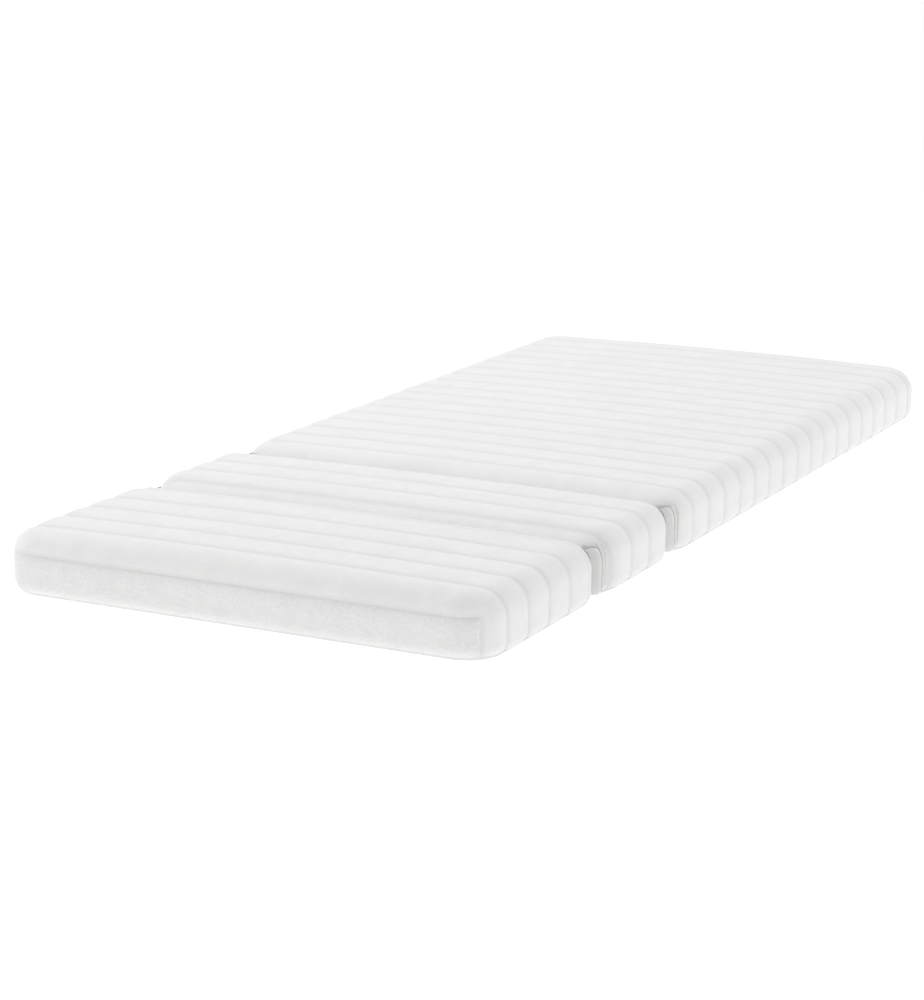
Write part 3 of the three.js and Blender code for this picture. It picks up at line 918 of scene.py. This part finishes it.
# --- Folds ---------------------------------------------------------------------------------
# Between two sections the cover is let down into the gap as a deep tuck, and a welted seam
# at the bottom hinges them. Bellows of pleated cloth close each end of the gap.
folds = {
    "1": {"lower": "foot_section", "upper": "middle_section", "bulge": 0.0070},
    "2": {"lower": "middle_section", "upper": "head_section", "bulge": 0.0045},
}
tuck_thickness = 0.0009
tuck_turn_in = 0.003
tuck_hem = 0.006  # of the upper edge, where it waves
pleat_thickness = 0.0011
pleat_hem = 0.003  # turned up at the bottom
pleat_clearance = 0.0009
pleat_give = 0.002  # in the length that is cut
pleat_notch = 0.0012  # half the width of the slit between the two pleats
pleat_notch_depth = 0.020
fold_half_gap = 0.003
welt_sides = 14


def plain_weave(place):
    """Plain white cotton: threads over and under at right angles, with slubs."""
    threads = ribs_along(place, "X", 380.0, 0.4) + ribs_along(place, "Z", 380.0, 0.4)
    slubs = noise(place, 55.0, 3.0)
    share = 0.25 * threads + 0.5 * slubs
    return (0.88, 0.88, 0.87), (0.96, 0.96, 0.955), share, 0.8 + 0.15 * slubs, threads, 0.0003


fold_cloth = finish_of("fold_cloth", plain_weave, Sheen_Weight=0.1)


def smoothed(corners, rounds=3):
    """A path with its corners cut off, again and again, until it bends softly."""
    path = np.array(corners, float)
    for _ in range(rounds):
        near = 0.75 * path[:-1] + 0.25 * path[1:]
        far = 0.25 * path[:-1] + 0.75 * path[1:]
        path = np.concatenate([path[:1], np.stack([near, far], axis=1).reshape(-1, path.shape[1]), path[-1:]])
    return path


def across_path(path):
    """Directions square to a flat path, to its left."""
    along = np.gradient(path, axis=0)
    along = along / np.linalg.norm(along, axis=1)[:, None]
    return np.column_stack([-along[:, 1], along[:, 0]])


for number, fold in folds.items():
    # The tuck goes down one side of the gap, round the bottom and up the other side.
    low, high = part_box("fold_tuck_" + number)
    middle = (low.y + high.y) / 2
    half = (high.y - low.y) / 2
    turn_angles = np.linspace(-math.pi / 2, math.pi / 2, 13)
    turn = [(half * math.sin(angle), low.z + half - half * math.cos(angle)) for angle in turn_angles]
    walls = np.linspace(high.z, low.z + half, 12)[:-1]
    section_path = np.array([(-half, z) for z in walls] + turn + [(half, z) for z in walls[::-1]])
    inward = across_path(section_path)
    stations = np.linspace(low.x, high.x, 121)
    outer, inner = [], []
    for x in stations:
        waver = 0.0005 * (1 + wander(x * 3, section_path[:, 1] * 2, 8.0 + middle))
        near_top = np.clip((section_path[:, 1] - high.z + tuck_hem) / tuck_hem, 0, 1)
        top_edge = near_top * 0.0012 * math.sin(x * 61 + 2 * math.sin(x * 17))
        face = section_path + inward * waver[:, None]
        back = face + inward * tuck_thickness
        outer.append(np.column_stack([np.full(len(face), x), middle + face[:, 0], face[:, 1] + top_edge]))
        inner.append(np.column_stack([np.full(len(face), x), middle + back[:, 0], back[:, 1] + top_edge]))
    grid = np.arange(len(stations) * len(section_path)).reshape(len(stations), -1)
    outer, inner = (np.array(side).reshape(-1, 3) for side in (outer, inner))
    tuck = shell("fold_tuck_" + number + "_cloth", outer, inner, grid_faces(grid)[:, ::-1])
    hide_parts("fold_tuck_" + number)
    cut = (high.x - low.x, 2 * (high.z - low.z) + tuck_turn_in)
    give(tuck, fold_cloth)

    # The welt: one strip rolled over a cord and sewn down along its middle.
    low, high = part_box("fold_hinge_seam_" + number)
    across, up = (high.y - low.y) / 2, (high.z - low.z) / 2
    angles = np.linspace(0, 2 * math.pi, welt_sides + 1)[:-1]
    stations = np.linspace(low.x, high.x, 341)
    points = []
    for place, x in enumerate(stations):
        pinch = 0.80 + 0.20 * abs(math.sin(math.pi * place / 2))
        for angle in angles:
            lift = up * math.sin(angle) * (pinch if abs(math.cos(angle)) < 0.5 else 1)
            points.append((x, middle + across * math.cos(angle), (low.z + high.z) / 2 + lift))
    faces = [face[::-1] for face in tube_faces(len(stations), welt_sides)]
    welt = new_piece("fold_welt_" + number, points, faces)
    welt.data.shade_smooth()
    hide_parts("fold_hinge_seam_" + number)
    give(welt, underside_knit)

    # The bellows: two soft pleats at each end of the gap, with a slit between them.
    for side, hand in (("left", -1), ("right", 1)):
        low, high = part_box("fold_pleats_" + number + "_" + side)
        crest = max(abs(low.x), abs(high.x))
        valley = min(abs(low.x), abs(high.x)) + 0.0015
        out = crest + fold["bulge"]
        wall_x = np.linspace(crest, valley, 6)[:2]
        corner_rise = fold_corner - np.sqrt(fold_corner**2 - (wall_x - half_width + fold_corner) ** 2)
        wall_y = fold_half_gap + corner_rise - pleat_clearance
        corners = [(-y, x) for y, x in zip(wall_y, wall_x)]
        corners += [(-0.017, crest - 0.004), (-0.009, out - 0.0015), (-0.004, out)]
        corners += [(-0.0014, out - 0.004), (-pleat_notch, crest - pleat_notch_depth)]
        corners = corners + [(-y, x) for y, x in corners[::-1]]
        bellows = smoothed(corners)
        inward = across_path(bellows)
        heights = np.linspace(high.z, low.z + pleat_hem, 25)
        outer, inner = [], []
        for z in heights:
            sway = 0.0005 * wander(z * 5, bellows[:, 1], 3.0 + hand + middle)
            sag = 0.0012 * np.exp(-(high.z - z) / 0.01) * np.sin(bellows[:, 0] * 400)
            under = max(edge_rounding - z, 0)
            over = max(z - (top_height - crown_rise - edge_roll), 0)
            drawn = edge_rounding - math.sqrt(edge_rounding**2 - under**2)
            drawn += edge_roll - math.sqrt(edge_roll**2 - over**2)
            face = np.column_stack([bellows[:, 0], bellows[:, 1] - 0.0008 + sway - drawn])
            back = face + inward * pleat_thickness
            level = np.full(len(face), z) + sag
            outer.append(np.column_stack([hand * face[:, 1], middle + face[:, 0], level]))
            inner.append(np.column_stack([hand * back[:, 1], middle + back[:, 0], level]))
        grid = np.arange(len(heights) * len(bellows)).reshape(len(heights), -1)
        outer, inner = (np.array(part).reshape(-1, 3) for part in (outer, inner))
        faces = grid_faces(grid) if hand < 0 else grid_faces(grid)[:, ::-1]
        name = "fold_pleats_" + number + "_" + side
        pleats = shell(name + "_cloth", outer, inner, faces)
        run = np.linalg.norm(np.diff(bellows, axis=0), axis=1).sum()
        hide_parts(name)
        cut = (float(run) + pleat_give, high.z - low.z - pleat_hem)
        give(pleats, fold_cloth)
        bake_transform(pleats)
    for piece in (tuck, welt):
        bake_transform(piece)


# --- Zip -----------------------------------------------------------------------------------
# A white nylon coil zip across the head end, so that the cover comes off to be washed. Its
# woven tapes are sewn in behind the window, and a metal slider runs between two metal stops.
tape_rows = 9
tape_thickness = 0.0006
coil_pitch = 0.0015
coil_wire = 0.00033  # its radius
turn_steps = 8


def woven_tape(place):
    """Woven tape: a herringbone of fine ribs."""
    slope = ribs_along(place, "DIAGONAL", 330.0)
    ribs = ribs_along(place, "X", 420.0)
    share = 0.3 * slope + 0.3 * ribs + 0.4 * noise(place, 90.0)
    return (0.78, 0.78, 0.77), (0.90, 0.90, 0.89), share, 0.7 + 0.15 * slope, slope + ribs, 0.0003


def nylon(place):
    """Smooth drawn nylon."""
    share = noise(place, 400.0)
    roughness = 0.35 + 0.2 * noise(place, 900.0)
    return (0.80, 0.80, 0.79), (0.90, 0.90, 0.89), share, roughness, noise(place, 1200.0), 0.00005


def worn_metal(place):
    """Cast zinc alloy with a dull plating, rubbed by hand."""
    share = noise(place, 300.0, 4.0, 0.7)
    roughness = 0.22 + 0.25 * noise(place, 240.0, 3.0)
    return (0.50, 0.50, 0.51), (0.72, 0.72, 0.73), share, roughness, noise(place, 900.0, 3.0), 0.00004


tape_cloth = finish_of("zip_tape", woven_tape)
coil_nylon = finish_of("zip_coil", nylon, Subsurface_Weight=0.1)
zip_metal = finish_of("zip_metal", worn_metal, Metallic=1.0)
for side, hand in (("lower", -1), ("upper", 1)):
    low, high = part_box("zip_tape_" + side)
    stations = np.linspace(low.x, high.x, 167)
    shares = np.linspace(0, 1, tape_rows)
    coil_edge, far_edge = (high.z, low.z) if hand < 0 else (low.z, high.z)
    outer, inner = [], []
    for share in shares:
        z = far_edge + (coil_edge - far_edge) * share
        cord = 0.0005 * math.exp(-(((share - 0.9) / 0.07) ** 2))
        waver = 0.0003 * wander(stations, np.full(len(stations), z * 20), 5.0 + hand) * (1 - share)
        front = high.y - 0.0004 + cord + waver
        outer.append(np.column_stack([stations, front, np.full(len(stations), z)]))
        back = front - tape_thickness - 1.6 * cord
        inner.append(np.column_stack([stations, back, np.full(len(stations), z)]))
    grid = np.arange(tape_rows * len(stations)).reshape(tape_rows, -1)
    outer, inner = (np.array(part).reshape(-1, 3) for part in (outer, inner))
    faces = grid_faces(grid) if hand < 0 else grid_faces(grid)[:, ::-1]
    tape = shell("zip_tape_" + side + "_cloth", outer, inner, faces)
    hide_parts("zip_tape_" + side)
    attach(tape, "head_section")
    give(tape, tape_cloth)

    # The coil is one nylon thread, wound round and round.
    low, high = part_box("zip_coil_" + side)
    radius_y = (high.y - low.y) / 2 - coil_wire
    radius_z = (high.z - low.z) / 2 - coil_wire + 0.0001
    turns = int((high.x - low.x - 0.002) / coil_pitch)
    angles = np.arange(turns * turn_steps + 1) * 2 * math.pi / turn_steps
    centre = np.column_stack([
        low.x + 0.001 + angles / (2 * math.pi) * coil_pitch,
        (low.y + high.y) / 2 + radius_y * np.cos(angles),
        (low.z + high.z) / 2 + radius_z * np.sin(angles) * hand,
    ])
    wire = bpy.data.curves.new("zip_coil_" + side + "_wire", "CURVE")
    wire.dimensions = "3D"
    wire.bevel_depth = coil_wire
    wire.bevel_resolution = 0
    wire.use_fill_caps = True
    spline = wire.splines.new("POLY")
    spline.points.add(len(centre) - 1)
    spline.points.foreach_set("co", np.column_stack([centre, np.ones(len(centre))]).ravel())
    coil = bpy.data.objects.new("zip_coil_" + side + "_wire", wire)
    bpy.context.collection.objects.link(coil)
    bpy.ops.object.select_all(action="DESELECT")
    bpy.context.view_layer.objects.active = coil
    coil.select_set(True)
    bpy.ops.object.convert(target="MESH")
    coil = bpy.context.object
    coil.data.shade_smooth()
    coil.select_set(False)
    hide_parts("zip_coil_" + side)
    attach(coil, "head_section")
    give(coil, coil_nylon)

for node in ("zip_stop_left", "zip_stop_right", "zip_slider", "zip_pull"):
    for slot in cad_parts[node].material_slots:
        slot.material = zip_metal


# --- Care label ----------------------------------------------------------------------------
# A blank satin ribbon, folded double and caught in the left upright seam at the head end. It
# lies round the corner, with its free end standing a little off the panel.
label_low, label_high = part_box("care_label")
corner_x, corner_y = end_corner - half_width, -foot_end - end_corner
label_from = math.acos((corner_x - label_low.x) / end_corner)
label_to = math.acos((corner_x - label_high.x) / end_corner)
label_columns = 22
label_thickness = 0.00019
label_fold = 0.0015  # the angle that the cloth takes up where it folds back


def satin(place):
    """Satin ribbon: fine floats that shine."""
    ribs = ribs_along(place, "Z", 600.0, 0.5)
    share = 0.4 * ribs + 0.5 * noise(place, 80.0)
    return (0.84, 0.84, 0.83), (0.93, 0.93, 0.92), share, 0.4 + 0.2 * noise(place, 200.0), ribs, 0.0001


label_satin = finish_of("label_satin", satin, Sheen_Weight=0.2)
out = np.linspace(0, 1, label_columns)
turned = label_from + (label_to - label_from) * out
near_stand = 0.0004 + 0.0006 * out**2
far_stand = near_stand + 0.0004 + 0.0006 * np.sin(math.pi * out) + 0.0003 * out
loop_angle = np.concatenate([turned, [turned[-1] + 0.012], turned[::-1]])
loop_stand = np.concatenate([near_stand, [(near_stand[-1] + far_stand[-1]) / 2], far_stand[::-1]])
layer = np.concatenate([np.full(label_columns, 1.0), [0.0], np.full(label_columns, -1.0)])
heights = np.linspace(label_low.z, label_high.z, 15)
outer, inner = [], []
for height in heights:
    lift = 0.0003 * math.sin(height * 400) * np.concatenate([out, [1], out[::-1]]) ** 2
    for store, inset, tuck_in in ((outer, 0.0, 0.0), (inner, label_thickness, label_fold)):
        reach = end_corner + loop_stand + lift + inset * layer
        angle = loop_angle - tuck_in * (layer == 0)
        x = corner_x - reach * np.cos(angle)
        y = corner_y + reach * np.sin(angle)
        store.append(np.column_stack([x, y, np.full(len(x), height)]))
grid = np.arange(len(heights) * len(loop_angle)).reshape(len(heights), -1)
outer, inner = (np.array(part).reshape(-1, 3) for part in (outer, inner))
label = shell("care_label_ribbon", outer, inner, grid_faces(grid)[:, ::-1])
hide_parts("care_label")
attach(label, "head_section")
give(label, label_satin)
